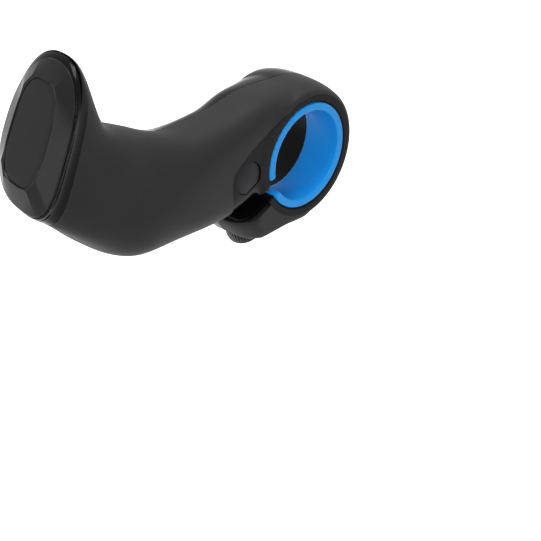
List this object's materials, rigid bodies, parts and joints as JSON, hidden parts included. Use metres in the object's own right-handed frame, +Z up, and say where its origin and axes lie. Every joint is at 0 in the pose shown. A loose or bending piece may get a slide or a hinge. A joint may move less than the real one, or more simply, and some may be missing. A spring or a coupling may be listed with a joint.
{
  "type": "bicycle bar end",
  "caption": "Inner bar end with a rubber-skinned thumb horn on a split handlebar clamp, with a reducer sleeve, a barrel nut and clamp bolt, and a bevelled end cap.",
  "frame": {"origin": "on the handlebar axis, in the middle of the clamp's width", "axes": "+X along the handlebar towards the side with the barrel nut, horn pointing to -Y, +Z up"},
  "size_m": [0.0336, 0.095, 0.0629],
  "materials": {
    "nylon_frame": "smooth moulded glass-filled nylon, glossy where bare, fine matte on the side face",
    "soft_rubber": "fine matte overmoulded rubber",
    "sleeve_plastic": "smooth moulded plastic with a soft sheen",
    "nut_steel": "black coated steel, dull",
    "bolt_steel": "black oxide steel, satin",
    "washer_steel": "black oxide steel, satin",
    "cap_plastic": "moulded plastic with a satin gloss",
    "badge_plastic": "fine matte plastic"
  },
  "bodies": {
    "frame": {"core_frame": "nylon_frame", "rubber_skin": "soft_rubber", "reducer_sleeve": "sleeve_plastic", "barrel_nut": "nut_steel", "end_cap": "cap_plastic", "badge_plate": "badge_plastic"},
    "washer": {"bolt_washer": "washer_steel"},
    "bolt": {"clamp_bolt": "bolt_steel"}
  },
  "joints": [
    {"name": "bolt_travel", "type": "slide", "parent": "frame", "child": "washer", "axis": [0, 0.3746, -0.9272], "range_m": [0, 0.0016]},
    {"name": "bolt_turn", "type": "hinge", "parent": "washer", "child": "bolt", "pos_m": [0, -0.01678, -0.00678], "axis": [0, 0.3746, -0.9272], "range_deg": [0, 720]}
  ],
  "couplings": [
    {"joint": "bolt_turn", "follows": "bolt_travel", "rad_per_m": 7854}
  ]
}
